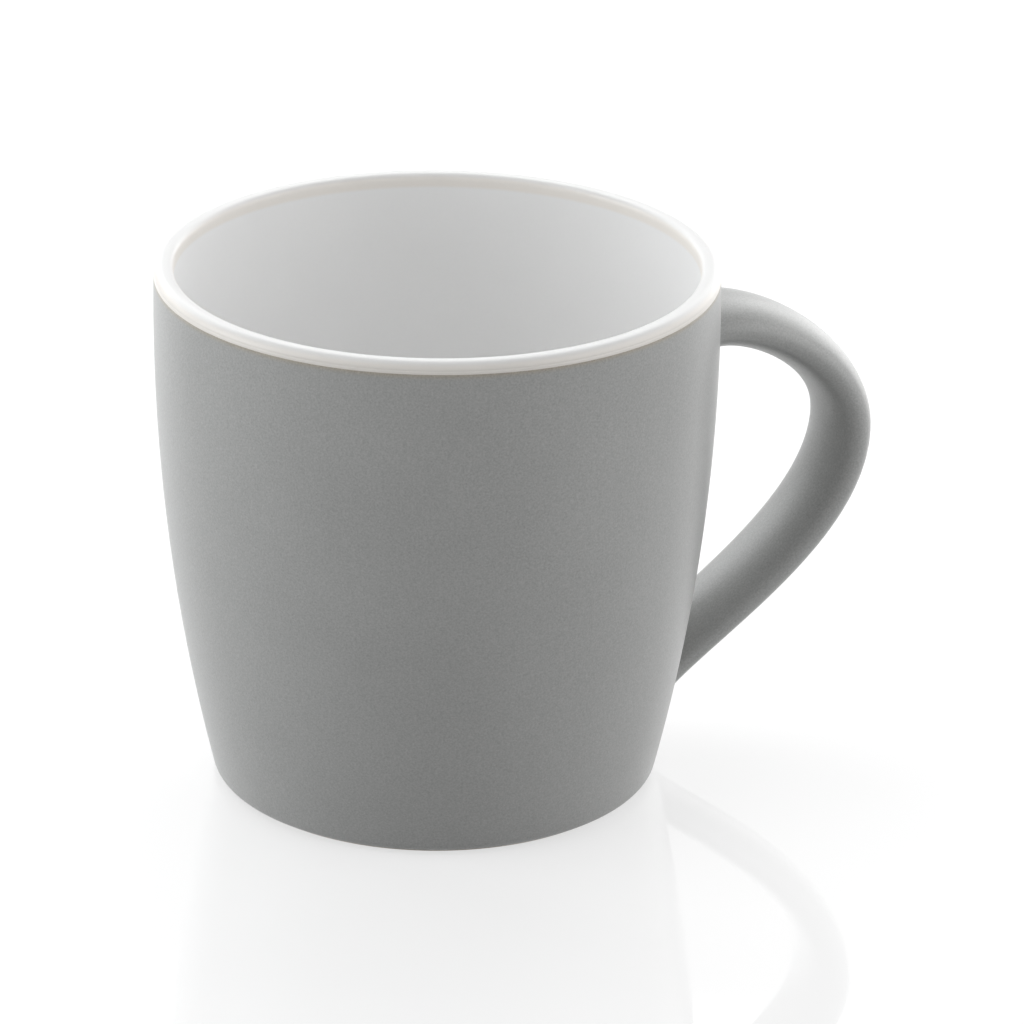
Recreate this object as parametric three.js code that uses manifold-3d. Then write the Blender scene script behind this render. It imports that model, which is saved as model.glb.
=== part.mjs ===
// A handled ceramic mug: a turned clay cup on a foot ring, an ear-shaped clay handle joined to it
// with slip, a white glaze inside and over the lip, and grey glazes outside and underneath.
// Millimetres, +Z up, handle along +X. The origin is on the table, under the middle of the mug.

import * as THREE from 'three';
import { mergeVertices } from 'three/addons/utils/BufferGeometryUtils.js';
import Module from 'manifold-3d';

const wasm = await Module();
wasm.setup();

const { clamp, degToRad, inverseLerp, lerp } = THREE.MathUtils;
const DOWN = -Math.PI / 2;

// Cup
const RIM_RADIUS = 42.5; // outside, at the widest ring
const BELLY_HEIGHT = 73; // the widest ring over the table
const FOOT_RADIUS = 33.7; // where the line of the wall meets the table
const CUP_HEIGHT = 82.1; // to the top of the lip
const LIP_WALL = 3; // wall at the lip, glazes included; the lip is a full round of this width
const FLOOR_WALL = 4.8; // wall at the floor, glazes included
const FLOOR = 5.4; // glazes included
const INNER_FILLET = 10; // between wall and floor, inside
const FOOT_CORNER = 2; // between wall and foot, outside
const FOOT_RING = 3; // width of the bare ring that stands on the table
const FOOT_RECESS = 2.4; // height of the hollow inside the ring
const FOOT_LIFT = 0.35; // the lower edges of the glazes over the table

// Handle
const HANDLE_STANDOFF = 28.5; // the handle's outside past the rim's radius
const HANDLE_DROP = 14.9; // the upper root's middle under the top of the lip
const HANDLE_HEEL = 10.9; // the lower root's middle over the table
const HANDLE_WIDEST = 47.8; // height at which the handle stands out furthest
const HANDLE_WIDTH = 15.9;
const UPPER_THICKNESS = 7.8; // at the upper root
const MIDDLE_THICKNESS = 7.1;
const LOWER_THICKNESS = 5.9; // at the lower root
const UPPER_RISE = degToRad(10.8); // slope at which the handle leaves the wall
const LOWER_RISE = degToRad(42.8);
const UPPER_PULL = 8.7; // how far each end of the two curves keeps its direction
const SHOULDER_PULL = 11.7;
const ELBOW_PULL = 16.3;
const LOWER_PULL = 12.4;

// Layers and clearances
const GLAZE = 0.4; // thickness of each glaze
const BOND = 0.15; // between a glaze and the clay under it
const SLIP = 0.5; // thickness of the slip beds
const CUT_GAP = 0.3; // on each side of a slip bed
const EDGE_GAP = 0.3; // between the edges of two surfaces that meet end to end
const ROOT_SINK = 7; // run of the handle past the wall, before it is cut
const ROOT_STUB = 14; // run of the handle outside the wall that is tried for a slip bed

// Fineness of the faces
const TURN_SIDES = 48;
const WALL_STEPS = 6;
const LIP_STEPS = 6;
const FILLET_STEPS = 4;
const CORNER_STEPS = 3;
const HANDLE_STEPS = 28;
const STUB_STEPS = 8;
const HANDLE_SIDES = 16;

const CLAY_DEPTH = GLAZE + BOND;

// Section of the cup. Radius is x and height is y. Each surface is a chain of arcs, and a surface
// at a depth under the finished one keeps the same centres, so the layers lie parallel.

function polar(centre, radius, angle) {
  return new THREE.Vector2(
    centre.x + radius * Math.cos(angle),
    centre.y + radius * Math.sin(angle),
  );
}

function arc(centre, radius, from, to, steps) {
  return Array.from({ length: steps + 1 }, (_, i) => polar(centre, radius, lerp(from, to, i / steps)));
}

// The outside of the wall is one arc, upright at the widest ring.
const taper = RIM_RADIUS - FOOT_RADIUS;
const wallRadius = (BELLY_HEIGHT ** 2 + taper ** 2) / (2 * taper);
const wallCentre = new THREE.Vector2(RIM_RADIUS - wallRadius, BELLY_HEIGHT);

function wallAngle(depth, height) {
  return Math.asin((height - BELLY_HEIGHT) / (wallRadius - depth));
}

function onWall(depth, angle) {
  return polar(wallCentre, wallRadius - depth, angle);
}

const lipRadius = LIP_WALL / 2;
const lipAngle = wallAngle(lipRadius, CUP_HEIGHT - lipRadius);
const lipCentre = onWall(lipRadius, lipAngle);
const seamAngle = lipAngle - EDGE_GAP / wallRadius;
const square = polar(new THREE.Vector2(), 1, lipAngle);

// The inside of the wall is an arc that leaves the lip square and reaches the floor's thickness of wall.
const floorTop = FOOT_RECESS + FLOOR;
const innerTop = onWall(LIP_WALL, lipAngle);
const innerChord = onWall(FLOOR_WALL, wallAngle(FLOOR_WALL, floorTop)).sub(innerTop);
const innerRadius = -innerChord.lengthSq() / (2 * innerChord.dot(square));
const innerCentre = innerTop.clone().addScaledVector(square, -innerRadius);
const filletAngle = Math.asin(
  (floorTop + INNER_FILLET - innerCentre.y) / (innerRadius - INNER_FILLET),
);
const filletCentre = polar(innerCentre, innerRadius - INNER_FILLET, filletAngle);

const footAngle = wallAngle(FOOT_CORNER, FOOT_LIFT + FOOT_CORNER);
const footCentre = onWall(FOOT_CORNER, footAngle);

const ringOuter = footCentre.x - EDGE_GAP;
const ringInner = ringOuter - FOOT_RING;
const coveRadius = FOOT_RECESS - FOOT_LIFT;
const coveCentre = new THREE.Vector2(ringInner - CLAY_DEPTH - coveRadius, FOOT_LIFT);

// From the lip down the outside to the foot.
function outside(depth, topAngle) {
  return [
    ...arc(wallCentre, wallRadius - depth, topAngle, footAngle, WALL_STEPS),
    ...arc(footCentre, FOOT_CORNER - depth, footAngle, DOWN, CORNER_STEPS).slice(1),
  ];
}

// From the middle of the floor up the inside and over the lip to its outer edge.
function inside(depth) {
  return [
    new THREE.Vector2(0, floorTop - depth),
    ...arc(filletCentre, INNER_FILLET + depth, DOWN, filletAngle, FILLET_STEPS),
    ...arc(innerCentre, innerRadius + depth, filletAngle, lipAngle, WALL_STEPS).slice(1),
    ...arc(lipCentre, lipRadius - depth, lipAngle + Math.PI, lipAngle, LIP_STEPS).slice(1),
  ];
}

// From the foot ring up its inner side and across the hollow to the middle.
function underside(depth) {
  return [
    ...arc(coveCentre, coveRadius + depth, 0, -DOWN, CORNER_STEPS),
    new THREE.Vector2(0, FOOT_RECESS + depth),
  ];
}

// A layer runs along a surface and back along the one that lies deeper.
function layer(surface) {
  return [...surface(0), ...surface(GLAZE).reverse()];
}

function closed(points) {
  return [...points, points[0]];
}

function turned(points) {
  return new THREE.LatheGeometry(points.reverse(), TURN_SIDES).rotateX(-DOWN);
}

// Handle, in the plane of the cup's axis: out from the upper root, round, and down to the lower one.

const upperRoot = onWall(0, wallAngle(0, CUP_HEIGHT - HANDLE_DROP));
const lowerRoot = onWall(0, wallAngle(0, HANDLE_HEEL));
const widest = new THREE.Vector2(
  RIM_RADIUS + HANDLE_STANDOFF - MIDDLE_THICKNESS / 2,
  HANDLE_WIDEST,
);
const upperWay = polar(new THREE.Vector2(), 1, UPPER_RISE);
const lowerWay = polar(new THREE.Vector2(), 1, LOWER_RISE);
const upright = new THREE.Vector2(0, 1);

function along(point, way, distance) {
  return point.clone().addScaledVector(way, distance);
}

const handleLine = new THREE.CurvePath();
handleLine.add(new THREE.LineCurve(along(upperRoot, upperWay, -ROOT_SINK), upperRoot));
handleLine.add(new THREE.CubicBezierCurve(
  upperRoot,
  along(upperRoot, upperWay, UPPER_PULL),
  along(widest, upright, SHOULDER_PULL),
  widest,
));
handleLine.add(new THREE.CubicBezierCurve(
  widest,
  along(widest, upright, -ELBOW_PULL),
  along(lowerRoot, lowerWay, LOWER_PULL),
  lowerRoot,
));
handleLine.add(new THREE.LineCurve(lowerRoot, along(lowerRoot, lowerWay, -ROOT_SINK)));
const sinkShare = ROOT_SINK / handleLine.getLength();
const stubShare = (ROOT_SINK + ROOT_STUB) / handleLine.getLength();

// From root to root the thickness passes through its three named values on one smooth curve.
function thicknessAt(u) {
  const v = clamp(inverseLerp(sinkShare, 1 - sinkShare, u), 0, 1);
  const bend = 2 * MIDDLE_THICKNESS - (UPPER_THICKNESS + LOWER_THICKNESS) / 2;
  return lerp(lerp(UPPER_THICKNESS, bend, v), lerp(bend, LOWER_THICKNESS, v), v);
}

// A run of the oval bar, drawn in all round by a depth.
function handleBar(depth, from, to, steps) {
  const vertices = [];
  const faces = [];
  for (let i = 0; i <= steps; i += 1) {
    const u = lerp(from, to, i / steps);
    const middle = handleLine.getPoint(u);
    const way = handleLine.getTangent(u);
    const thick = thicknessAt(u) / 2 - depth;
    const wide = HANDLE_WIDTH / 2 - depth;
    for (let j = 0; j < HANDLE_SIDES; j += 1) {
      const turn = (2 * Math.PI * j) / HANDLE_SIDES;
      const out = thick * Math.cos(turn);
      vertices.push(middle.x - way.y * out, wide * Math.sin(turn), middle.y + way.x * out);
    }
  }
  for (let i = 0; i < steps; i += 1) {
    for (let j = 0; j < HANDLE_SIDES; j += 1) {
      const here = i * HANDLE_SIDES + j;
      const beside = i * HANDLE_SIDES + ((j + 1) % HANDLE_SIDES);
      faces.push(here, here + HANDLE_SIDES, beside);
      faces.push(beside, here + HANDLE_SIDES, beside + HANDLE_SIDES);
    }
  }
  const last = steps * HANDLE_SIDES;
  for (let j = 1; j < HANDLE_SIDES - 1; j += 1) {
    faces.push(0, j, j + 1);
    faces.push(last, last + j + 1, last + j);
  }
  const bar = new THREE.BufferGeometry();
  bar.setAttribute('position', new THREE.Float32BufferAttribute(vertices, 3));
  bar.setIndex(faces);
  return bar;
}

// Joining and cutting

function solid(geometry) {
  const bare = geometry.clone();
  bare.deleteAttribute('normal');
  bare.deleteAttribute('uv');
  const merged = mergeVertices(bare);
  const corners = merged.index.array;
  const triVerts = [];
  for (let k = 0; k < corners.length; k += 3) {
    const [a, b, c] = corners.slice(k, k + 3);
    const hasArea = a !== b && b !== c && c !== a;
    if (hasArea) {
      triVerts.push(a, b, c);
    }
  }
  return new wasm.Manifold(new wasm.Mesh({
    numProp: 3,
    vertProperties: merged.attributes.position.array,
    triVerts: new Uint32Array(triVerts),
  }));
}

function geometryOf(body) {
  const { vertProperties, triVerts } = body.getMesh();
  const geometry = new THREE.BufferGeometry();
  geometry.setAttribute('position', new THREE.BufferAttribute(vertProperties, 3));
  geometry.setIndex(new THREE.BufferAttribute(triVerts, 1));
  geometry.computeVertexNormals();
  return geometry;
}

// The cup filled solid, at a depth under its outside. It runs on under the table, so that it takes
// in the hidden ends of the handle.
function plug(depth) {
  return solid(turned([
    new THREE.Vector2(0, lipCentre.y),
    ...outside(depth, lipAngle),
    new THREE.Vector2(footCentre.x, -ROOT_SINK),
    new THREE.Vector2(0, -ROOT_SINK),
  ]));
}

// Pieces

function clayCup() {
  return turned([
    ...inside(CLAY_DEPTH),
    ...outside(CLAY_DEPTH, lipAngle).slice(1),
    new THREE.Vector2(ringOuter, FOOT_LIFT + CLAY_DEPTH),
    new THREE.Vector2(ringOuter, 0),
    new THREE.Vector2(ringInner, 0),
    ...underside(CLAY_DEPTH),
  ]);
}

const bedInner = CLAY_DEPTH - CUT_GAP;
const bedOuter = bedInner - SLIP;

function clayHandle() {
  const bar = solid(handleBar(CLAY_DEPTH, 0, 1, HANDLE_STEPS));
  return geometryOf(bar.subtract(plug(bedOuter - CUT_GAP)));
}

function slipBed(from, to) {
  const stub = solid(handleBar(CLAY_DEPTH, from, to, STUB_STEPS));
  return geometryOf(stub.intersect(plug(bedOuter)).subtract(plug(bedInner)));
}

// The handle's coat ends inside the thickness of the wall's coat, and both open at the roots.
function greyOuterGlaze() {
  const wallCoat = solid(turned(closed(layer((depth) => outside(depth, seamAngle)))));
  const handleCoat = solid(handleBar(0, 0, 1, HANDLE_STEPS)).subtract(plug(GLAZE / 2));
  const opening = solid(handleBar(GLAZE, 0, 1, HANDLE_STEPS));
  return geometryOf(wallCoat.add(handleCoat).subtract(opening));
}

const bareClay = new THREE.MeshStandardMaterial({ color: 0xe4ded3, roughness: 0.9, metalness: 0 });
const firedSlip = new THREE.MeshStandardMaterial({ color: 0xd9d2c5, roughness: 0.95, metalness: 0 });
const whiteGlaze = new THREE.MeshStandardMaterial({ color: 0xf2f1ee, roughness: 0.15, metalness: 0 });
const greyGlaze = new THREE.MeshStandardMaterial({ color: 0x9b9d9b, roughness: 0.55, metalness: 0 });

function piece(name, geometry, material) {
  const mesh = new THREE.Mesh(geometry, material);
  mesh.name = name;
  return mesh;
}

const cup = new THREE.Group();
cup.position.x = -HANDLE_STANDOFF / 2;
cup.add(
  piece('clay_cup', clayCup(), bareClay),
  piece('clay_handle', clayHandle(), bareClay),
  piece('upper_luting_slip', slipBed(0, stubShare), firedSlip),
  piece('lower_luting_slip', slipBed(1 - stubShare, 1), firedSlip),
  piece('white_liner_glaze', turned(layer(inside)), whiteGlaze),
  piece('grey_outer_glaze', greyOuterGlaze(), greyGlaze),
  piece('underside_glaze', turned(closed(layer(underside))), greyGlaze),
);

const mug = new THREE.Group();
mug.add(cup);

export default mug;
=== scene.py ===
"""A handled ceramic mug, dressed for its picture.

The clay cup and its glazes are turned from one section, the handle grows out of the wall with a small
fillet, and each surface has its own finish. The mug stands on a plain white table in soft studio light.
Lengths are metres and angles are radians, +Z is up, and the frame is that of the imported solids.
"""

import logging
import math
from dataclasses import dataclass
from enum import Enum
from typing import Optional, Union

import bmesh
import bpy
from mathutils import Matrix, Vector
from mathutils.geometry import interpolate_bezier

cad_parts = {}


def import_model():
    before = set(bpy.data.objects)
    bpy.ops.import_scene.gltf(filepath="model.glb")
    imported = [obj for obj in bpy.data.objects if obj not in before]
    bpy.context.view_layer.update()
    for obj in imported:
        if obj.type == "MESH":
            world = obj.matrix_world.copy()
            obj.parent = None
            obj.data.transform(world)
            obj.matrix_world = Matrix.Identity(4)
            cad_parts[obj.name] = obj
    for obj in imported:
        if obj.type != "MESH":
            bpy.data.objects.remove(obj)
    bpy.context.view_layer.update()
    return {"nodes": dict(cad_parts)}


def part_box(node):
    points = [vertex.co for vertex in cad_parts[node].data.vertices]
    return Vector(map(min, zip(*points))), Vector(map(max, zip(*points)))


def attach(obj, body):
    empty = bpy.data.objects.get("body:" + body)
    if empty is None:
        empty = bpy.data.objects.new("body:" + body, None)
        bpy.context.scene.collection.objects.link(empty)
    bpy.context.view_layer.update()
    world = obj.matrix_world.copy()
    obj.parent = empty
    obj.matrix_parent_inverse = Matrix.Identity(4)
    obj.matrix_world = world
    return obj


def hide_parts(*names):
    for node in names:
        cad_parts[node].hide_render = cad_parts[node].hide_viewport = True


LOG = logging.getLogger("mug")
MM = 0.001
BODY = "root"
DOWN = -math.pi / 2
FULL_TURN = 2 * math.pi
SHARPEST = math.radians(40)  # edges that turn more than this stay sharp
DOUBLED = 0.001 * MM  # points nearer than this are one point
SLIVER = 0.002 * MM  # edges shorter than this go after a cut or a join
GLASSY = 1.5  # index of refraction of the glazes and the table top
NOISE_MIDDLE = 0.5

Colour = tuple[float, float, float]
DAYLIGHT: Colour = (0.975, 0.993, 1.0)
Input = Union["Value", float, int, str, tuple]


class Slot(Enum):
    """The record's material slots."""

    BARE_CLAY = "bare_clay"
    FIRED_SLIP = "fired_slip"
    WHITE_GLAZE = "white_glaze"
    GREY_GLAZE = "grey_glaze"


class Join(Enum):
    """What a second solid does to the first one."""

    ADD = "UNION"
    CUT = "DIFFERENCE"


class Root(Enum):
    """The two ends of the handle, as the way its line runs there: out of the wall or into it."""

    UPPER = 1
    LOWER = -1


class Workbench:
    """The modelling moves that the pieces share, made of Blender's own operators."""

    @staticmethod
    def clear_selection() -> None:
        """Deselects every object, so that an operator acts on the new piece alone."""
        bpy.ops.object.select_all(action="DESELECT")

    @staticmethod
    def pick(piece: bpy.types.Object) -> None:
        """Makes a piece the only selected object and the active one.

        Args:
            piece: The piece.
        """
        Workbench.clear_selection()
        piece.select_set(True)
        bpy.context.view_layer.objects.active = piece

    @staticmethod
    def draw(name: str, points: list[Vector]) -> bpy.types.Object:
        """Draws a profile in the XZ plane by extruding one vertex from point to point.

        Args:
            name: The piece's name.
            points: The profile, x across and y up.

        Returns:
            The new object, still in edit mode.
        """
        Workbench.clear_selection()
        bpy.ops.mesh.primitive_plane_add(size=MM)
        piece = bpy.context.object
        piece.name = name
        piece.data.name = name
        bpy.ops.object.mode_set(mode="EDIT")
        bpy.ops.mesh.merge(type="CENTER")
        places = [Vector((point.x, 0.0, point.y)) for point in points]
        bpy.ops.transform.translate(value=places[0])
        for here, there in zip(places, places[1:]):
            bpy.ops.mesh.extrude_vertices_move(TRANSFORM_OT_translate={"value": there - here})
        return piece

    @staticmethod
    def turn(name: str, points: list[Vector], axis_x: float, sides: int) -> bpy.types.Object:
        """Turns a profile round an upright axis, as on a wheel.

        Args:
            name: The piece's name.
            points: The profile, x from the axis and y up, which starts and ends on the axis.
            axis_x: Where the axis stands.
            sides: Steps of the full turn.

        Returns:
            The turned solid, in object mode.
        """
        piece = Workbench.draw(name, [point + Vector((axis_x, 0.0)) for point in points])
        bpy.ops.mesh.select_all(action="SELECT")
        bpy.ops.mesh.spin(steps=sides, angle=FULL_TURN, center=(axis_x, 0.0, 0.0), axis=(0.0, 0.0, 1.0))
        Workbench.close_up()
        return piece

    @staticmethod
    def loft(name: str, rings: list[list[Vector]]) -> bpy.types.Object:
        """Cuts a cylinder of height 1 into rings and moves each ring's points to their places.

        Args:
            name: The piece's name.
            rings: The points of each ring, in order round it.

        Returns:
            The closed tube, in object mode.
        """
        sides = len(rings[0])
        last = len(rings) - 1
        half = 0.5
        Workbench.clear_selection()
        bpy.ops.mesh.primitive_cylinder_add(vertices=sides, radius=1.0, depth=1.0, end_fill_type="NGON")
        piece = bpy.context.object
        piece.name = name
        piece.data.name = name
        bpy.ops.object.mode_set(mode="EDIT")
        bpy.ops.mesh.select_all(action="DESELECT")
        bpy.ops.mesh.select_mode(type="EDGE")
        mesh = bmesh.from_edit_mesh(piece.data)
        for edge in mesh.edges:
            first, second = edge.verts
            edge.select_set(abs(first.co.z - second.co.z) > half)
        bpy.ops.mesh.subdivide(number_cuts=last - 1)
        bpy.ops.mesh.select_mode(type="VERT")
        mesh = bmesh.from_edit_mesh(piece.data)
        for vertex in mesh.verts:
            side = round(math.atan2(vertex.co.y, vertex.co.x) / FULL_TURN * sides) % sides
            ring = round((vertex.co.z + half) * last)
            vertex.co = rings[ring][side]
        bmesh.update_edit_mesh(piece.data)
        bpy.ops.mesh.select_all(action="SELECT")
        Workbench.close_up()
        return piece

    @staticmethod
    def close_up() -> None:
        """Merges the doubled points of the mesh in edit mode, faces it outwards and leaves edit mode."""
        bpy.ops.mesh.select_all(action="SELECT")
        bpy.ops.mesh.remove_doubles(threshold=DOUBLED)
        bpy.ops.mesh.normals_make_consistent(inside=False)
        bpy.ops.object.mode_set(mode="OBJECT")

    @staticmethod
    def combine(piece: bpy.types.Object, other: bpy.types.Object, way: Join) -> None:
        """Adds a second solid to a piece or cuts it away, and deletes the second solid.

        Args:
            piece: The piece that stays.
            other: The second solid.
            way: Whether it is added or cut away.
        """
        Workbench.pick(piece)
        modifier = piece.modifiers.new(way.name.lower(), "BOOLEAN")
        modifier.operation = way.value
        modifier.solver = "EXACT"
        modifier.object = other
        bpy.ops.object.modifier_apply(modifier=modifier.name)
        bpy.ops.object.mode_set(mode="EDIT")
        bpy.ops.mesh.select_all(action="SELECT")
        bpy.ops.mesh.dissolve_degenerate(threshold=SLIVER)
        bpy.ops.object.mode_set(mode="OBJECT")
        Workbench.pick(other)
        bpy.ops.object.delete()

    @staticmethod
    def finish(piece: bpy.types.Object, material: bpy.types.Material) -> None:
        """Shades a piece smooth, apart from its sharp edges, and gives it one material.

        Args:
            piece: The piece.
            material: What covers it.
        """
        Workbench.pick(piece)
        bpy.ops.object.shade_smooth_by_angle(angle=SHARPEST)
        piece.data.materials.clear()
        piece.data.materials.append(material)


class Value:
    """A socket that carries a number, where arithmetic adds Math nodes."""

    def __init__(self, desk: "NodeDesk", socket: bpy.types.NodeSocket) -> None:
        """Keeps the socket and the desk that its node lies on."""
        self.desk = desk
        self.socket = socket

    def _math(self, operation: str, first: Input, second: Input) -> "Value":
        """Adds one Math node."""
        return self.desk.node("ShaderNodeMath", {"operation": operation}, {0: first, 1: second})

    def __add__(self, other: Input) -> "Value":
        """This plus another."""
        return self._math("ADD", self, other)

    def __radd__(self, other: Input) -> "Value":
        """Another plus this."""
        return self._math("ADD", other, self)

    def __sub__(self, other: Input) -> "Value":
        """This less another."""
        return self._math("SUBTRACT", self, other)

    def __mul__(self, other: Input) -> "Value":
        """This times another."""
        return self._math("MULTIPLY", self, other)

    def swing(self, contrast: float) -> "Value":
        """How far a noise lies from its middle, times a contrast."""
        return (self - NOISE_MIDDLE) * contrast


@dataclass(frozen=True)
class Grain:
    """A soft noise: about how wide its grains are, and how much finer detail they carry."""

    width: float
    detail: float
    roughness: float = 0.5


class NodeDesk:
    """The node tree of one material or world."""

    def __init__(self, owner: Union[bpy.types.Material, bpy.types.World]) -> None:
        """Empties the owner's node tree.

        Args:
            owner: The material or world.
        """
        owner.use_nodes = True
        self.owner = owner
        self.tree = owner.node_tree
        self.tree.nodes.clear()

    @staticmethod
    def for_material(name: str) -> "NodeDesk":
        """Makes a new material and opens its tree."""
        return NodeDesk(bpy.data.materials.new(name))

    def node(
        self, kind: str, settings: dict, sockets: dict, output: Union[str, int] = 0
    ) -> Optional[Value]:
        """Adds one node.

        Args:
            kind: The node's type.
            settings: Its properties, which are set first.
            sockets: A value or a link for each input that is set.
            output: The output that is handed back.

        Returns:
            The chosen output, or None from a node that has none.
        """
        made = self.tree.nodes.new(kind)
        for key, setting in settings.items():
            setattr(made, key, setting)
        for key, entry in sockets.items():
            if isinstance(entry, Value):
                self.tree.links.new(entry.socket, made.inputs[key])
            elif isinstance(entry, tuple) and made.inputs[key].type == "RGBA":
                made.inputs[key].default_value = (*entry, 1.0)
            else:
                made.inputs[key].default_value = entry
        outputs = made.outputs
        return Value(self, outputs[output]) if len(outputs) else None

    def place(self) -> Value:
        """The point of the surface in the mug's frame."""
        return self.node("ShaderNodeTexCoord", {}, {}, "Object")

    def height(self) -> Value:
        """The point's height over the table."""
        return self.node("ShaderNodeSeparateXYZ", {}, {"Vector": self.place()}, "Z")

    def noise(self, grain: Grain) -> Value:
        """Adds a soft noise.

        Args:
            grain: Its width and detail.

        Returns:
            A number about NOISE_MIDDLE.
        """
        sockets = {
            "Vector": self.place(),
            "Scale": 1.0 / grain.width,
            "Detail": grain.detail,
            "Roughness": grain.roughness,
        }
        return self.node("ShaderNodeTexNoise", {"normalize": True}, sockets, "Fac")

    def rise(self, value: Value, start: float, end: float) -> Value:
        """A smooth step from 0 where a value is at start to 1 where it is at end."""
        sockets = {"Value": value, "From Min": start, "From Max": end}
        return self.node("ShaderNodeMapRange", {"interpolation_type": "SMOOTHSTEP"}, sockets)

    def blend(self, share: Input, first: Input, second: Input) -> Value:
        """Mixes two colours by a share of the second."""
        sockets = {"Factor": share, "A": first, "B": second}
        return self.node("ShaderNodeMix", {"data_type": "RGBA"}, sockets, "Result")

    def shade(self, colour: Value, level: Value) -> Value:
        """Multiplies a colour by a number.

        Args:
            colour: The colour.
            level: The number.

        Returns:
            The product.
        """
        grey = self.node("ShaderNodeCombineColor", {}, {"Red": level, "Green": level, "Blue": level})
        sockets = {"Factor": 1.0, "A": colour, "B": grey}
        settings = {"data_type": "RGBA", "blend_type": "MULTIPLY"}
        return self.node("ShaderNodeMix", settings, sockets, "Result")

    def relief(self, height: Value, depth: float) -> Value:
        """A normal bent by a height from 0 to 1 that stands for depth."""
        return self.node("ShaderNodeBump", {}, {"Height": height, "Distance": depth, "Strength": 1.0})

    def seen(self) -> Value:
        """1 where the camera looks, straight or by way of a reflection or glass, and 0 elsewhere."""
        rays = [
            self.node("ShaderNodeLightPath", {}, {}, ray)
            for ray in ("Is Camera Ray", "Is Glossy Ray", "Is Transmission Ray")
        ]
        return rays[0] + rays[1] + rays[2]

    def surface(self, sockets: dict) -> Value:
        """A Principled surface."""
        return self.node("ShaderNodeBsdfPrincipled", {}, sockets)

    def close(self, surface: Value) -> bpy.types.Material:
        """Sends a surface to the output and hands back the material."""
        self.node("ShaderNodeOutputMaterial", {}, {"Surface": surface})
        return self.owner


@dataclass(frozen=True)
class GreyGlaze:
    """Matt grey glaze with a fine grain, which thins to a tan line under the lip."""

    name: str = "matt_grey_glaze"
    colour: Colour = (0.382, 0.386, 0.380)
    thin_colour: Colour = (0.40, 0.365, 0.31)
    thin_height: float = 80.3 * MM
    thin_run: float = 0.9 * MM
    grain: Grain = Grain(0.28 * MM, 2.0, 0.6)
    grain_contrast: float = 0.7
    grain_depth: float = 0.012 * MM
    cloud: Grain = Grain(14.0 * MM, 3.0)
    cloud_contrast: float = 0.14
    roughness: float = 0.37
    roughness_contrast: float = 0.1
    sheen: float = 0.12

    def material(self) -> bpy.types.Material:
        """Makes the glaze's material.

        Returns:
            The material.
        """
        desk = NodeDesk.for_material(self.name)
        grain = desk.noise(self.grain)
        cloud = desk.noise(self.cloud)
        level = 1.0 + grain.swing(self.grain_contrast) + cloud.swing(self.cloud_contrast)
        thin = desk.rise(desk.height(), self.thin_height - self.thin_run, self.thin_height)
        tint = desk.blend(thin, self.colour, self.thin_colour)
        return desk.close(desk.surface({
            "Base Color": desk.shade(tint, level),
            "Roughness": self.roughness + cloud.swing(self.roughness_contrast),
            "Normal": desk.relief(grain, self.grain_depth),
            "Sheen Weight": self.sheen,
            "IOR": GLASSY,
        }))


@dataclass(frozen=True)
class WhiteGlaze:
    """Glossy white glaze with a faint flow in its surface.

    Where it thins round the lip it is warmer in a band; over the very top of the lip a darker grey is
    painted on, painted shade that keeps the top from looking too bright under the lamps.
    """

    name: str = "gloss_white_glaze"
    colour: Colour = (0.876, 0.876, 0.874)
    thin_colour: Colour = (0.850, 0.818, 0.775)
    # painted shade: a darker grey painted over the top of the lip
    painted_shade_top_colour: Colour = (0.745, 0.745, 0.741)
    thin_low: float = 80.3 * MM
    painted_shade_height: float = 81.3 * MM
    thin_run: float = 0.7 * MM
    flow: Grain = Grain(9.0 * MM, 1.0)
    flow_contrast: float = 0.02
    flow_depth: float = 0.03 * MM
    speck: Grain = Grain(0.35 * MM, 2.0)
    speck_contrast: float = 0.03
    roughness: float = 0.36
    roughness_contrast: float = 0.08

    def material(self) -> bpy.types.Material:
        """Makes the glaze's material.

        Returns:
            The material.
        """
        desk = NodeDesk.for_material(self.name)
        flow = desk.noise(self.flow)
        speck = desk.noise(self.speck)
        level = 1.0 + speck.swing(self.speck_contrast) + flow.swing(self.flow_contrast)
        height = desk.height()
        above = desk.rise(height, self.thin_low - self.thin_run, self.thin_low)
        # painted shade: above this height the lip's top is blended into a darker grey, to hold down its
        # brightness under the lamps
        rim = desk.rise(height, self.painted_shade_height, self.painted_shade_height + self.thin_run)
        tint = desk.blend(rim, desk.blend(above, self.colour, self.thin_colour), self.painted_shade_top_colour)
        return desk.close(desk.surface({
            "Base Color": desk.shade(tint, level),
            "Roughness": self.roughness + flow.swing(self.roughness_contrast),
            "Normal": desk.relief(flow, self.flow_depth),
            "IOR": GLASSY,
        }))


@dataclass(frozen=True)
class BareClay:
    """Fired clay with no glaze: dry, pale and a little sandy."""

    name: str
    colour: Colour
    sand_colour: Colour
    sand: Grain = Grain(0.5 * MM, 3.0, 0.7)
    sand_low: float = 0.55
    sand_high: float = 0.75
    sand_depth: float = 0.03 * MM
    patch: Grain = Grain(6.0 * MM, 2.0)
    patch_contrast: float = 0.06
    roughness: float = 0.85
    roughness_contrast: float = 0.1

    def material(self) -> bpy.types.Material:
        """Makes the clay's material.

        Returns:
            The material.
        """
        desk = NodeDesk.for_material(self.name)
        sand = desk.noise(self.sand)
        patch = desk.noise(self.patch)
        share = desk.rise(sand, self.sand_low, self.sand_high)
        colour = desk.blend(share, self.colour, self.sand_colour)
        return desk.close(desk.surface({
            "Base Color": desk.shade(colour, 1.0 + patch.swing(self.patch_contrast)),
            "Roughness": self.roughness + sand.swing(self.roughness_contrast),
            "Normal": desk.relief(sand, self.sand_depth),
        }))


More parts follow.
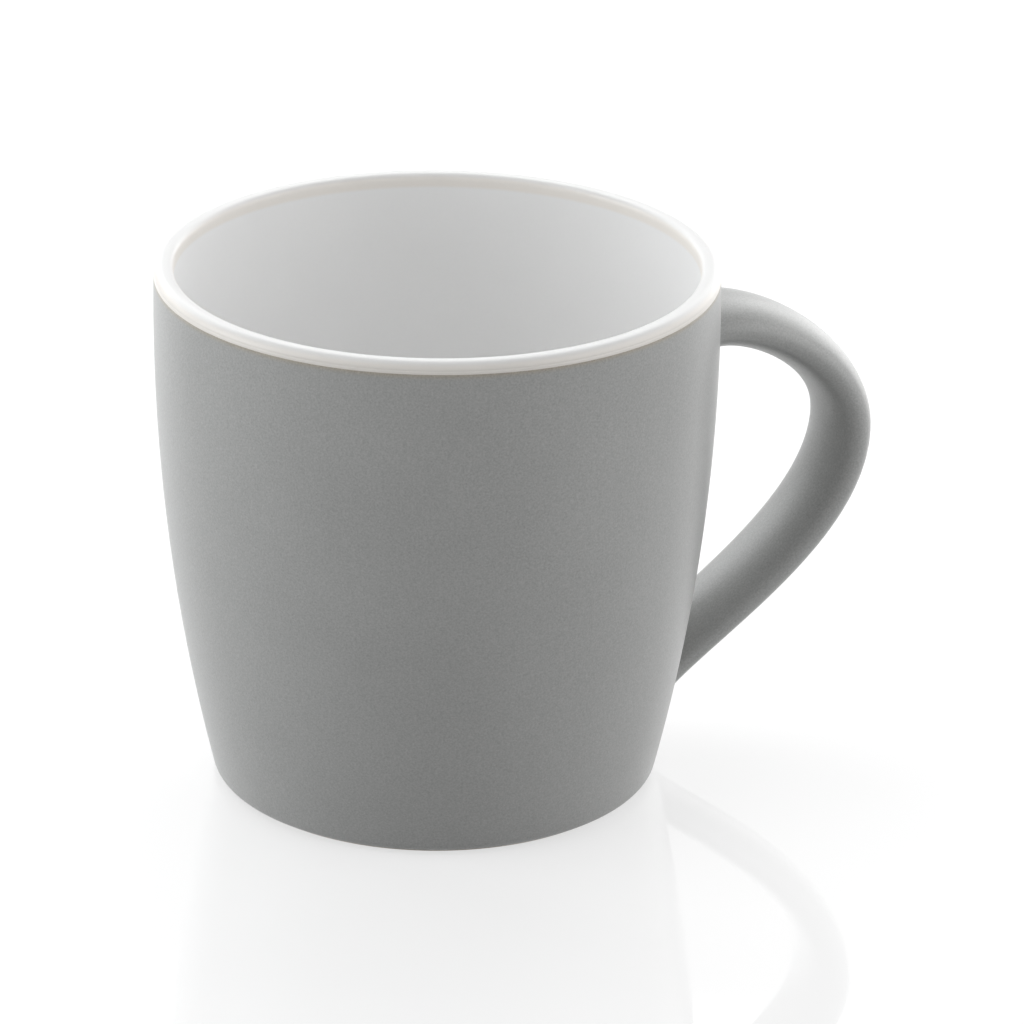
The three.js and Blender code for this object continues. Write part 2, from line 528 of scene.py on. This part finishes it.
@dataclass(frozen=True)
class TableTop:
    """Smooth white table top that shows white to the camera and keeps the mug's shadow and reflection."""

    name: str = "white_table_top"
    colour: Colour = (0.34, 0.34, 0.34)
    roughness: float = 0.03
    lift: float = 0.63
    # painted bounce light: the table's faint glow for rays the camera doesn't follow
    bounce: float = 0.03

    def material(self) -> bpy.types.Material:
        """Makes the table top's material.

        Returns:
            The material.
        """
        desk = NodeDesk.for_material(self.name)
        top = desk.surface({"Base Color": self.colour, "Roughness": self.roughness, "IOR": GLASSY})
        # the table glows faintly for every ray the camera doesn't follow, painted bounce light on the mug
        # from below; seen rays get the lift's white
        strength = self.bounce + desk.seen() * (self.lift - self.bounce)
        glow = desk.node("ShaderNodeEmission", {}, {"Strength": strength})
        return desk.close(desk.node("ShaderNodeAddShader", {}, {0: top, 1: glow}))


@dataclass(frozen=True)
class Arc:
    """A run of a circle in the cup's section, where x is the radius and y the height.

    A hollow arc bounds its piece from the inside of the curve, so a layer under it has a larger radius.
    """

    centre: Vector
    radius: float
    start: float
    end: float
    hollow: bool = False

    def at(self, angle: float, depth: float = 0.0) -> Vector:
        """The point at an angle, at a depth under the surface."""
        radius = self.radius + depth if self.hollow else self.radius - depth
        return self.centre + radius * Vector((math.cos(angle), math.sin(angle)))

    def points(self, steps: int, depth: float = 0.0) -> list[Vector]:
        """Evenly spaced points from start to end, at a depth under the surface."""
        turn = (self.end - self.start) / steps
        return [self.at(self.start + step * turn, depth) for step in range(steps + 1)]


@dataclass(frozen=True)
class CupSection:
    """The section of the finished cup: arcs for the wall, lip, floor and foot.

    The lip's power is that of its inner corner: 2 is a full round, and more is squarer. The rings are
    shares of a flat run's radius, at which its faces are divided.
    """

    axis_x: float
    rim_radius: float = 42.5 * MM
    belly_height: float = 73.0 * MM
    foot_radius: float = 33.7 * MM
    height: float = 82.1 * MM
    lip_wall: float = 3.0 * MM
    floor_wall: float = 4.8 * MM
    floor: float = 5.4 * MM
    inner_fillet: float = 10.0 * MM
    foot_corner: float = 2.0 * MM
    foot_ring: float = 3.0 * MM
    foot_recess: float = 2.4 * MM
    foot_lift: float = 0.35 * MM
    glaze: float = 0.4 * MM
    bond: float = 0.15 * MM
    seam_drop: float = 0.30 * MM
    edge_roll: float = 0.05 * MM
    crease_rise: float = 0.50 * MM
    crease_width: float = 0.11 * MM
    crease_depth: float = 0.05 * MM
    edge_run: float = 1.10 * MM
    lip_power: float = 3.0
    floor_rings: tuple[float, ...] = (0.0, 0.4, 0.75)
    hollow_rings: tuple[float, ...] = (0.7, 0.35, 0.0)
    sides: int = 192
    wall_steps: int = 40
    lip_steps: int = 40
    edge_steps: int = 22
    fillet_steps: int = 14
    corner_steps: int = 8

    @property
    def clay_depth(self) -> float:
        """How far the clay lies under the finished surface."""
        return self.glaze + self.bond

    @property
    def floor_top(self) -> float:
        """Height of the floor inside the cup."""
        return self.foot_recess + self.floor

    def wall(self) -> Arc:
        """The outside of the wall.

        Returns:
            Its arc, from the lip down to the foot's corner.
        """
        taper = self.rim_radius - self.foot_radius
        radius = (self.belly_height**2 + taper**2) / (2 * taper)
        centre = Vector((self.rim_radius - radius, self.belly_height))
        lip = self.lip_wall / 2
        top = math.asin((self.height - lip - self.belly_height) / (radius - lip))
        corner = self.foot_corner
        foot = math.asin((self.foot_lift + corner - self.belly_height) / (radius - corner))
        return Arc(centre, radius, top, foot)

    def wall_angle(self, height: float, depth: float = 0.0) -> float:
        """The angle on the wall's arc that lies at a height."""
        wall = self.wall()
        return math.asin((height - wall.centre.y) / (wall.radius - depth))

    def wall_radius(self, height: float) -> float:
        """The cup's outer radius at a height."""
        return self.wall().at(self.wall_angle(height)).x

    def foot(self) -> Arc:
        """The rounded corner between wall and foot."""
        wall = self.wall()
        return Arc(wall.at(wall.end, self.foot_corner), self.foot_corner, wall.end, DOWN)

    def lip(self) -> Arc:
        """The full round of the lip.

        Returns:
            Its arc, from inside to outside.
        """
        wall = self.wall()
        half = self.lip_wall / 2
        return Arc(wall.at(wall.start, half), half, wall.start + math.pi, wall.start)

    def inner_wall(self) -> Arc:
        """The inside of the wall.

        Returns:
            Its arc, from the floor's fillet up to the lip.
        """
        wall = self.wall()
        square = Vector((math.cos(wall.start), math.sin(wall.start)))
        top = wall.at(wall.start, self.lip_wall)
        low = wall.at(self.wall_angle(self.floor_top, self.floor_wall), self.floor_wall)
        chord = low - top
        radius = -chord.length_squared / (2 * chord.dot(square))
        centre = top - radius * square
        fillet = self.inner_fillet
        angle = math.asin((self.floor_top + fillet - centre.y) / (radius - fillet))
        return Arc(centre, radius, angle, wall.start, hollow=True)

    def fillet(self) -> Arc:
        """The round between floor and wall inside the cup.

        Returns:
            Its arc, from the floor up.
        """
        inner = self.inner_wall()
        centre = inner.at(inner.start, -self.inner_fillet)
        return Arc(centre, self.inner_fillet, DOWN, inner.start, hollow=True)

    def ring_outer(self) -> float:
        """Outer radius of the bare foot ring."""
        return self.foot().centre.x

    def cove(self) -> Arc:
        """The round between the foot ring and the hollow under the cup.

        Returns:
            Its arc, from the ring up.
        """
        radius = self.foot_recess - self.foot_lift
        inner = self.ring_outer() - self.foot_ring
        centre = Vector((inner - self.clay_depth - radius, self.foot_lift))
        return Arc(centre, radius, 0.0, -DOWN, hollow=True)

    def seam_height(self) -> float:
        """Height of the line where the white glaze meets the grey one."""
        return self.lip().centre.y - self.seam_drop

    def lip_side(self, rise: float, depth: float) -> Vector:
        """Finds a point on the lip's outer side.

        Args:
            rise: How far up from the seam.
            depth: How far under the surface.

        Returns:
            The point.
        """
        if rise < self.seam_drop:
            return self.wall().at(self.wall_angle(self.seam_height() + rise, depth), depth)
        lip = self.lip()
        return lip.at(lip.end + (rise - self.seam_drop) / lip.radius, depth)

    def lip_edge(self) -> list[Vector]:
        """The lip's outer edge down to the seam: a fine crease, then a narrow bead that rolls in.

        Returns:
            Its points, from the top down.
        """
        points = []
        for step in range(self.edge_steps + 1):
            rise = self.edge_run * (1 - step / self.edge_steps)
            crease = self.crease_depth * math.exp(-(((rise - self.crease_rise) / self.crease_width) ** 2))
            roll = max(0.0, self.edge_roll - rise)
            points.append(self.lip_side(rise, crease + roll))
        return points

    def lip_top(self) -> list[Vector]:
        """The lip between its inner side and its outer edge, with a tight inner corner.

        Returns:
            Its points, from inside to outside.
        """
        lip = self.lip()
        last = lip.end + (self.edge_run - self.seam_drop) / lip.radius
        points = []
        for step in range(1, self.lip_steps):
            angle = lip.start + (last - lip.start) * step / self.lip_steps
            across, up = math.cos(angle - lip.end), math.sin(angle - lip.end)
            stretch = 1.0
            if across < 0.0:
                stretch = (abs(across) ** self.lip_power + up**self.lip_power) ** (-1 / self.lip_power)
            points.append(lip.at(angle, lip.radius * (1.0 - stretch)))
        return points

    def liner(self) -> list[Vector]:
        """The white glaze's section, from the middle of the floor over the lip to the seam and back."""
        outer = self.bowl(0.0) + self.lip_top() + self.lip_edge()
        return outer + [self.lip_side(0.0, self.glaze)] + self.inside(self.glaze)[::-1]

    def outside(self, depth: float, top: float) -> list[Vector]:
        """The outside of the cup.

        Args:
            depth: How far under the surface.
            top: The angle on the wall where it starts.

        Returns:
            Its points, down to the foot.
        """
        wall = self.wall()
        run = Arc(wall.centre, wall.radius, top, wall.end)
        return run.points(self.wall_steps, depth) + self.foot().points(self.corner_steps, depth)[1:]

    def bowl(self, depth: float) -> list[Vector]:
        """The inside of the cup.

        Args:
            depth: How far under the surface.

        Returns:
            Its points, from the middle of the floor up to the lip.
        """
        reach = self.fillet().centre.x
        floor = [Vector((share * reach, self.floor_top - depth)) for share in self.floor_rings]
        up = self.fillet().points(self.fillet_steps, depth)
        return floor + up + self.inner_wall().points(self.wall_steps, depth)[1:]

    def inside(self, depth: float) -> list[Vector]:
        """From the middle of the floor up the inside and over the lip to its outer edge, at a depth."""
        return self.bowl(depth) + self.lip().points(self.lip_steps, depth)[1:]

    def underside(self, depth: float) -> list[Vector]:
        """The hollow under the cup.

        Args:
            depth: How far under the surface.

        Returns:
            Its points, from the foot ring up and across to the middle.
        """
        reach = self.cove().centre.x
        middle = [Vector((share * reach, self.foot_recess + depth)) for share in self.hollow_rings]
        return self.cove().points(self.corner_steps, depth) + middle

    def turned(self, name: str, points: list[Vector]) -> bpy.types.Object:
        """Turns a profile round the cup's axis."""
        return Workbench.turn(name, points, self.axis_x, self.sides)


@dataclass(frozen=True)
class HandleShape:
    """The ear-shaped handle: an oval bar along two curves, rooted in the cup's wall.

    The foot of a root's fillet stands a little proud of the wall, and its inner end is buried in it.
    """

    cup: CupSection
    standoff: float = 28.5 * MM
    drop: float = 14.9 * MM
    heel: float = 10.9 * MM
    widest: float = 47.8 * MM
    width: float = 15.9 * MM
    upper_thickness: float = 7.8 * MM
    middle_thickness: float = 7.1 * MM
    lower_thickness: float = 5.9 * MM
    upper_rise: float = math.radians(10.8)
    lower_rise: float = math.radians(42.8)
    upper_pull: float = 8.7 * MM
    shoulder_pull: float = 11.7 * MM
    elbow_pull: float = 16.3 * MM
    lower_pull: float = 12.4 * MM
    sink: float = 7.0 * MM
    stub: float = 14.0 * MM
    root_fillet: float = 1.3 * MM
    root_proud: float = 0.02 * MM
    root_bury: float = 3.0 * MM
    root_halvings: int = 30
    sides: int = 64
    bar_steps: int = 84
    fillet_steps: int = 7
    curve_steps: int = 240

    def line(self) -> list[Vector]:
        """The handle's middle line.

        Returns:
            Its points from sunk end to sunk end, x from the cup's axis and y up.
        """
        upper = self.cup.wall().at(self.cup.wall_angle(self.cup.height - self.drop))
        lower = self.cup.wall().at(self.cup.wall_angle(self.heel))
        out = Vector((self.cup.rim_radius + self.standoff - self.middle_thickness / 2, self.widest))
        upper_way = Vector((math.cos(self.upper_rise), math.sin(self.upper_rise)))
        lower_way = Vector((math.cos(self.lower_rise), math.sin(self.lower_rise)))
        upright = Vector((0.0, 1.0))
        shoulder = interpolate_bezier(
            upper,
            upper + self.upper_pull * upper_way,
            out + self.shoulder_pull * upright,
            out,
            self.curve_steps,
        )
        elbow = interpolate_bezier(
            out,
            out - self.elbow_pull * upright,
            lower + self.lower_pull * lower_way,
            lower,
            self.curve_steps,
        )
        start = upper - self.sink * upper_way
        end = lower - self.sink * lower_way
        return [start, *shoulder, *elbow[1:], end]


class HandleBar:
    """The bar of a handle as a surface: a point for each distance along it and turn round it."""

    def __init__(self, shape: HandleShape) -> None:
        """Measures the middle line of a handle's shape.

        Args:
            shape: The shape.
        """
        self.shape = shape
        self.cup = shape.cup
        self.line = shape.line()
        self.marks = [0.0]
        for here, there in zip(self.line, self.line[1:]):
            self.marks.append(self.marks[-1] + (there - here).length)
        self.length = self.marks[-1]

    def _middle(self, run: float) -> tuple[Vector, Vector]:
        """Follows the middle line.

        Args:
            run: Distance along it.

        Returns:
            The point there, and the line's direction.
        """
        step = next((i for i, mark in enumerate(self.marks[1:]) if mark >= run), len(self.marks) - 2)
        here, there = self.line[step], self.line[step + 1]
        share = (run - self.marks[step]) / (self.marks[step + 1] - self.marks[step])
        before = self.line[max(step - 1, 0)]
        after = self.line[min(step + 2, len(self.line) - 1)]
        way = (there - before).normalized().lerp((after - here).normalized(), share)
        return here.lerp(there, share), way.normalized()

    def _thickness(self, run: float) -> float:
        """The bar's thickness, which passes through its three sizes from root to root.

        Args:
            run: Distance along the middle line.

        Returns:
            The thickness there.
        """
        shape = self.shape
        share = (run - shape.sink) / (self.length - 2 * shape.sink)
        share = min(max(share, 0.0), 1.0)
        bend = 2 * shape.middle_thickness - (shape.upper_thickness + shape.lower_thickness) / 2
        first = shape.upper_thickness + (bend - shape.upper_thickness) * share
        second = bend + (shape.lower_thickness - bend) * share
        return first + (second - first) * share

    def skin(self, run: float, turn: float, depth: float = 0.0) -> Vector:
        """The point of the bar's surface, measured from the cup's axis.

        Args:
            run: Distance along the middle line.
            turn: Angle round the bar, from its outer side.
            depth: How far under the surface.

        Returns:
            The point.
        """
        middle, way = self._middle(run)
        thick = (self._thickness(run) / 2 - depth) * math.cos(turn)
        wide = (self.shape.width / 2 - depth) * math.sin(turn)
        return Vector((middle.x - way.y * thick, wide, middle.y + way.x * thick))

    def _outside_wall(self, point: Vector) -> float:
        """How far a point lies outside the cup's wall."""
        return math.hypot(point.x, point.y) - self.cup.wall_radius(point.z)

    def _root_run(self, turn: float, root: Root) -> float:
        """Finds where the bar's surface leaves the wall.

        Args:
            turn: Angle round the bar.
            root: Which end of the handle.

        Returns:
            The distance along the middle line.
        """
        inner = 0.0 if root is Root.UPPER else self.length
        outer = inner + root.value * (self.shape.sink + self.shape.stub)
        for _ in range(self.shape.root_halvings):
            middle = (inner + outer) / 2
            if self._outside_wall(self.skin(middle, turn)) > 0.0:
                outer = middle
            else:
                inner = middle
        return (inner + outer) / 2

    def _on_wall(self, point: Vector, proud: float) -> Vector:
        """Moves a point onto the wall, square to the axis.

        Args:
            point: The point.
            proud: How far outside the wall it ends.

        Returns:
            The moved point.
        """
        radius = self.cup.wall_radius(point.z) + proud
        stretch = radius / math.hypot(point.x, point.y)
        return Vector((point.x * stretch, point.y * stretch, point.z))

    def _root_rings(self, root: Root, turns: list[float]) -> tuple[list[float], list[list[Vector]]]:
        """The fillet at one root.

        Args:
            root: Which end of the handle.
            turns: The angles round the bar.

        Returns:
            Where each turn of the bar leaves the fillet, and the fillet's rings from in the wall outwards.
        """
        reach = self.shape.root_fillet
        runs = [self._root_run(turn, root) for turn in turns]
        corners = [self.skin(run, turn) for run, turn in zip(runs, turns)]
        centre = sum(corners, Vector()) / len(corners)
        ends = [run + root.value * reach for run in runs]
        rings = [[] for _ in range(self.shape.fillet_steps + 2)]
        for side, corner in enumerate(corners):
            after = corners[(side + 1) % len(corners)]
            edge = (after - corners[side - 1]).normalized()
            wall_normal = self._wall_normal(corner)
            away = edge.cross(wall_normal).normalized()
            if away.dot(corner - centre) < 0.0:
                away.negate()
            foot = self._on_wall(corner + reach * away, self.shape.root_proud)
            top = self.skin(ends[side], turns[side])
            rings[0].append(self._on_wall(foot, -self.shape.root_bury))
            for step in range(self.shape.fillet_steps + 1):
                share = step / self.shape.fillet_steps
                rings[step + 1].append(foot.lerp(corner, share).lerp(corner.lerp(top, share), share))
        return ends, rings

    def _wall_normal(self, point: Vector) -> Vector:
        """The outward direction of the wall at a point on it.

        Args:
            point: The point.

        Returns:
            The direction, of length 1.
        """
        angle = self.cup.wall_angle(point.z)
        round_axis = Vector((point.x, point.y)).normalized() * math.cos(angle)
        return Vector((round_axis.x, round_axis.y, math.sin(angle)))

    def _placed(self, rings: list[list[Vector]]) -> list[list[Vector]]:
        """Rings moved from the cup's axis to the mug's frame."""
        shift = Vector((self.cup.axis_x, 0.0, 0.0))
        return [[point + shift for point in ring] for ring in rings]

    def coat_rings(self) -> list[list[Vector]]:
        """The finished handle with its fillets.

        Returns:
            Its rings, from inside the wall at one root to inside it at the other.
        """
        turns = [FULL_TURN * side / self.shape.sides for side in range(self.shape.sides)]
        starts, upper = self._root_rings(Root.UPPER, turns)
        ends, lower = self._root_rings(Root.LOWER, turns)
        steps = self.shape.bar_steps
        bar = [
            [self.skin(a + (b - a) * step / steps, turn) for a, b, turn in zip(starts, ends, turns)]
            for step in range(1, steps)
        ]
        return self._placed(upper + bar + lower[::-1])

    def core_rings(self, depth: float) -> list[list[Vector]]:
        """The bar without its fillets.

        Args:
            depth: How far under the surface.

        Returns:
            Its rings, from sunk end to sunk end.
        """
        turns = [FULL_TURN * side / self.shape.sides for side in range(self.shape.sides)]
        steps = self.shape.bar_steps
        return self._placed([
            [self.skin(self.length * step / steps, turn, depth) for turn in turns]
            for step in range(steps + 1)
        ])


@dataclass
class ClayBody:
    """The clay cup, of which only the foot ring stays bare."""

    cup: CupSection
    finish: BareClay
    name: str = "clay_body"

    def build(self) -> bpy.types.Object:
        """Turns the clay cup.

        Returns:
            The cup.
        """
        cup = self.cup
        depth = cup.clay_depth
        ring = cup.ring_outer()
        profile = cup.inside(depth) + cup.outside(depth, cup.wall().start)[1:]
        profile += [
            Vector((ring, 0.0)),
            Vector((ring - cup.foot_ring, 0.0)),
            *cup.underside(depth),
        ]
        return cup.turned(self.name, profile)

    def dress(self, piece: bpy.types.Object) -> None:
        """Gives the cup its clay finish and its place in the frame.

        Args:
            piece: The built piece.
        """
        Workbench.finish(piece, self.finish.material())
        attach(piece, BODY)
        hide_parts("clay_cup")


@dataclass
class LinerGlaze:
    """The white glaze inside the cup and over its lip."""

    cup: CupSection
    finish: WhiteGlaze
    name: str = "liner_glaze"

    def build(self) -> bpy.types.Object:
        """Turns the liner as a thin shell."""
        return self.cup.turned(self.name, self.cup.liner())

    def dress(self, piece: bpy.types.Object) -> None:
        """Gives the liner its glaze and its place in the frame.

        Args:
            piece: The built piece.
        """
        Workbench.finish(piece, self.finish.material())
        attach(piece, BODY)
        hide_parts("white_liner_glaze")


@dataclass
class OuterGlaze:
    """The grey glaze over the outside of the cup and the handle, one unbroken coat."""

    cup: CupSection
    handle: HandleBar
    finish: GreyGlaze
    name: str = "outer_glaze"
    clearance: float = 5.0 * MM

    def _filled_cup(self) -> bpy.types.Object:
        """The cup filled solid up to the seam, where its edge rolls in.

        Returns:
            The filled cup.
        """
        cup = self.cup
        top = cup.seam_height()
        rim = [Vector((0.0, top)), cup.wall().at(cup.wall_angle(top), cup.edge_roll)]
        wall = cup.outside(0.0, cup.wall_angle(top - cup.edge_roll))
        return cup.turned(self.name, [*rim, *wall, Vector((0.0, cup.foot_lift))])

    def _hollow(self) -> bpy.types.Object:
        """What the glaze leaves of the filled cup, run on past it at the top and the bottom.

        Returns:
            The solid to cut away.
        """
        cup = self.cup
        top = cup.seam_height() + self.clearance
        wall = cup.outside(cup.glaze, cup.wall_angle(top, cup.glaze))
        low = Vector((cup.ring_outer(), -self.clearance))
        return cup.turned("cup_hollow", [Vector((0.0, top)), *wall, low, Vector((0.0, low.y))])

    def build(self) -> bpy.types.Object:
        """Joins the handle to the filled cup, then hollows both to the glaze's thickness.

        Returns:
            The coat.
        """
        coat = self._filled_cup()
        Workbench.combine(coat, Workbench.loft("handle_coat", self.handle.coat_rings()), Join.ADD)
        Workbench.combine(coat, self._hollow(), Join.CUT)
        core = Workbench.loft("handle_core", self.handle.core_rings(self.cup.glaze))
        Workbench.combine(coat, core, Join.CUT)
        return coat

    def dress(self, piece: bpy.types.Object) -> None:
        """Gives the coat its glaze and its place in the frame.

        Args:
            piece: The built piece.
        """
        Workbench.finish(piece, self.finish.material())
        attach(piece, BODY)
        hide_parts("grey_outer_glaze")


@dataclass
class UndersideGlaze:
    """The grey glaze in the hollow inside the foot ring."""

    cup: CupSection
    finish: GreyGlaze
    name: str = "foot_glaze"

    def build(self) -> bpy.types.Object:
        """Turns the glaze of the hollow as a thin shell."""
        cup = self.cup
        return cup.turned(self.name, cup.underside(0.0)[::-1] + cup.underside(cup.glaze))

    def dress(self, piece: bpy.types.Object) -> None:
        """Gives the hollow its glaze and its place in the frame.

        Args:
            piece: The built piece.
        """
        Workbench.finish(piece, self.finish.material())
        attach(piece, BODY)
        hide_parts("underside_glaze")


@dataclass
class Luting:
    """The clay handle and the slip that joins it to the cup, which lie under the grey glaze."""

    clay: BareClay
    slip: BareClay

    def dress(self, nodes: dict) -> None:
        """Gives the carried-over solids their clay and slip finishes.

        Args:
            nodes: The frame's objects by name.
        """
        finishes = {
            "clay_handle": (self.clay, Slot.BARE_CLAY),
            "upper_luting_slip": (self.slip, Slot.FIRED_SLIP),
            "lower_luting_slip": (self.slip, Slot.FIRED_SLIP),
        }
        for name, (finish, slot) in finishes.items():
            piece = nodes[name]
            piece.data.materials.clear()
            piece.data.materials.append(finish.material())
            LOG.info("%s: carried over", name)


@dataclass(frozen=True)
class SoftBox:
    """A large square lamp that faces the mug."""

    name: str
    bearing: float
    height: float
    power: float
    colour: Colour = (1.0, 1.0, 1.0)
    distance: float = 1.2
    size: float = 0.9

    def build(self, target: Vector) -> bpy.types.Object:
        """Adds the lamp, aimed at a point.

        Args:
            target: What the lamp faces.

        Returns:
            The lamp's object.
        """
        way = Vector((math.sin(self.bearing), -math.cos(self.bearing), 0.0)) * math.cos(self.height)
        way.z = math.sin(self.height)
        bpy.ops.object.light_add(type="AREA", location=target + way * self.distance)
        lamp = bpy.context.object
        lamp.name = self.name
        lamp.data.shape = "SQUARE"
        lamp.data.size = self.size
        lamp.data.energy = self.power
        lamp.data.color = self.colour
        lamp.rotation_mode = "QUATERNION"
        lamp.rotation_quaternion = way.to_track_quat("Z", "Y")
        return lamp


@dataclass
class Studio:
    """The white table, the soft lamps and the pale room round the mug."""

    target: Vector
    table: TableTop
    lamps: tuple[SoftBox, ...]
    room_light: float = 0.26
    table_size: float = 6.0

    def build(self) -> None:
        """Sets up the table, the lamps and the room."""
        Workbench.clear_selection()
        bpy.ops.mesh.primitive_plane_add(size=self.table_size)
        table = bpy.context.object
        table.name = "table"
        table.data.materials.append(self.table.material())
        for lamp in self.lamps:
            lamp.build(self.target)
        self._room()

    def _room(self) -> None:
        """Lights the mug evenly from all round, and shows white to the camera and in reflections."""
        world = bpy.data.worlds.new("pale_room")
        bpy.context.scene.world = world
        desk = NodeDesk(world)
        strength = self.room_light + desk.seen() * (1.0 - self.room_light)
        room = desk.node("ShaderNodeBackground", {}, {"Color": (1.0, 1.0, 1.0), "Strength": strength})
        desk.node("ShaderNodeOutputWorld", {}, {"Surface": room})


@dataclass(frozen=True)
class PhotoCamera:
    """The camera of the photograph: a long lens that looks down at the cup from its handle's side."""

    bearing: float = math.radians(-21.4)
    height: float = math.radians(22.67)
    distance: float = 900.0 * MM
    aim_height: float = 40.0 * MM
    aim_right: float = 11.56 * MM
    aim_up: float = 1.48 * MM
    roll: float = math.radians(0.38)
    lens: float = 208.0
    sensor: float = 36.0
    near: float = 0.05
    far: float = 20.0

    def build(self, axis_x: float) -> bpy.types.Object:
        """Adds the camera and makes it the scene's own.

        Args:
            axis_x: Where the cup's axis stands.

        Returns:
            The camera's object.
        """
        target = Vector((axis_x, 0.0, self.aim_height))
        right = Vector((math.cos(self.bearing), math.sin(self.bearing), 0.0))
        back = Vector((math.sin(self.bearing), -math.cos(self.bearing), 0.0)) * math.cos(self.height)
        back.z = math.sin(self.height)
        up = back.cross(right)
        place = target + self.distance * back
        aim = target + self.aim_right * right + self.aim_up * up
        bpy.ops.object.camera_add(location=place)
        camera = bpy.context.object
        camera.name = "photo_camera"
        camera.data.lens = self.lens
        camera.data.sensor_width = self.sensor
        camera.data.clip_start = self.near
        camera.data.clip_end = self.far
        away = (place - aim).normalized()
        level = up.cross(away).normalized()
        aimed = Matrix((level, away.cross(level), away)).transposed()
        roll = Matrix.Rotation(self.roll, 3, "Z")
        camera.rotation_mode = "QUATERNION"
        camera.rotation_quaternion = aimed.to_quaternion() @ roll.to_quaternion()
        bpy.context.scene.camera = camera
        return camera


LAMPS = (
    SoftBox("left_low_lamp", math.radians(-105), math.radians(12), power=7.0, colour=DAYLIGHT),
    SoftBox("left_high_lamp", math.radians(-90), math.radians(48), power=3.0),
    SoftBox("back_lamp", math.radians(-165), math.radians(30), power=5.4, colour=DAYLIGHT),
    SoftBox("back_high_lamp", math.radians(150), math.radians(48), power=5.6),
    SoftBox("right_back_lamp", math.radians(120), math.radians(12), power=5.2),
    SoftBox("right_lamp", math.radians(55), math.radians(16), power=8.8, size=1.3),
)


def main() -> None:
    """Builds the mug round its frame, then the studio and the camera."""
    logging.basicConfig(level=logging.INFO, format="%(name)s: %(message)s")
    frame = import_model()
    bpy.context.scene.view_settings.view_transform = "Standard"
    low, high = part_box("clay_cup")
    cup = CupSection(axis_x=(low.x + high.x) / 2)
    handle = HandleBar(HandleShape(cup))
    clay = BareClay("bare_clay", colour=(0.72, 0.66, 0.57), sand_colour=(0.60, 0.53, 0.44))
    slip = BareClay("fired_slip", colour=(0.65, 0.59, 0.50), sand_colour=(0.55, 0.49, 0.40))
    pieces = (
        ClayBody(cup, clay),
        LinerGlaze(cup, WhiteGlaze()),
        OuterGlaze(cup, handle, GreyGlaze()),
        UndersideGlaze(cup, GreyGlaze("matt_grey_foot_glaze")),
    )
    for piece in pieces:
        built = piece.build()
        piece.dress(built)
        LOG.info("%s: %d faces", built.name, len(built.data.polygons))
    Luting(clay, slip).dress(frame["nodes"])
    Studio(Vector((cup.axis_x, 0.0, cup.height / 2)), TableTop(), LAMPS).build()
    PhotoCamera().build(cup.axis_x)


if __name__ == "__main__":
    main()
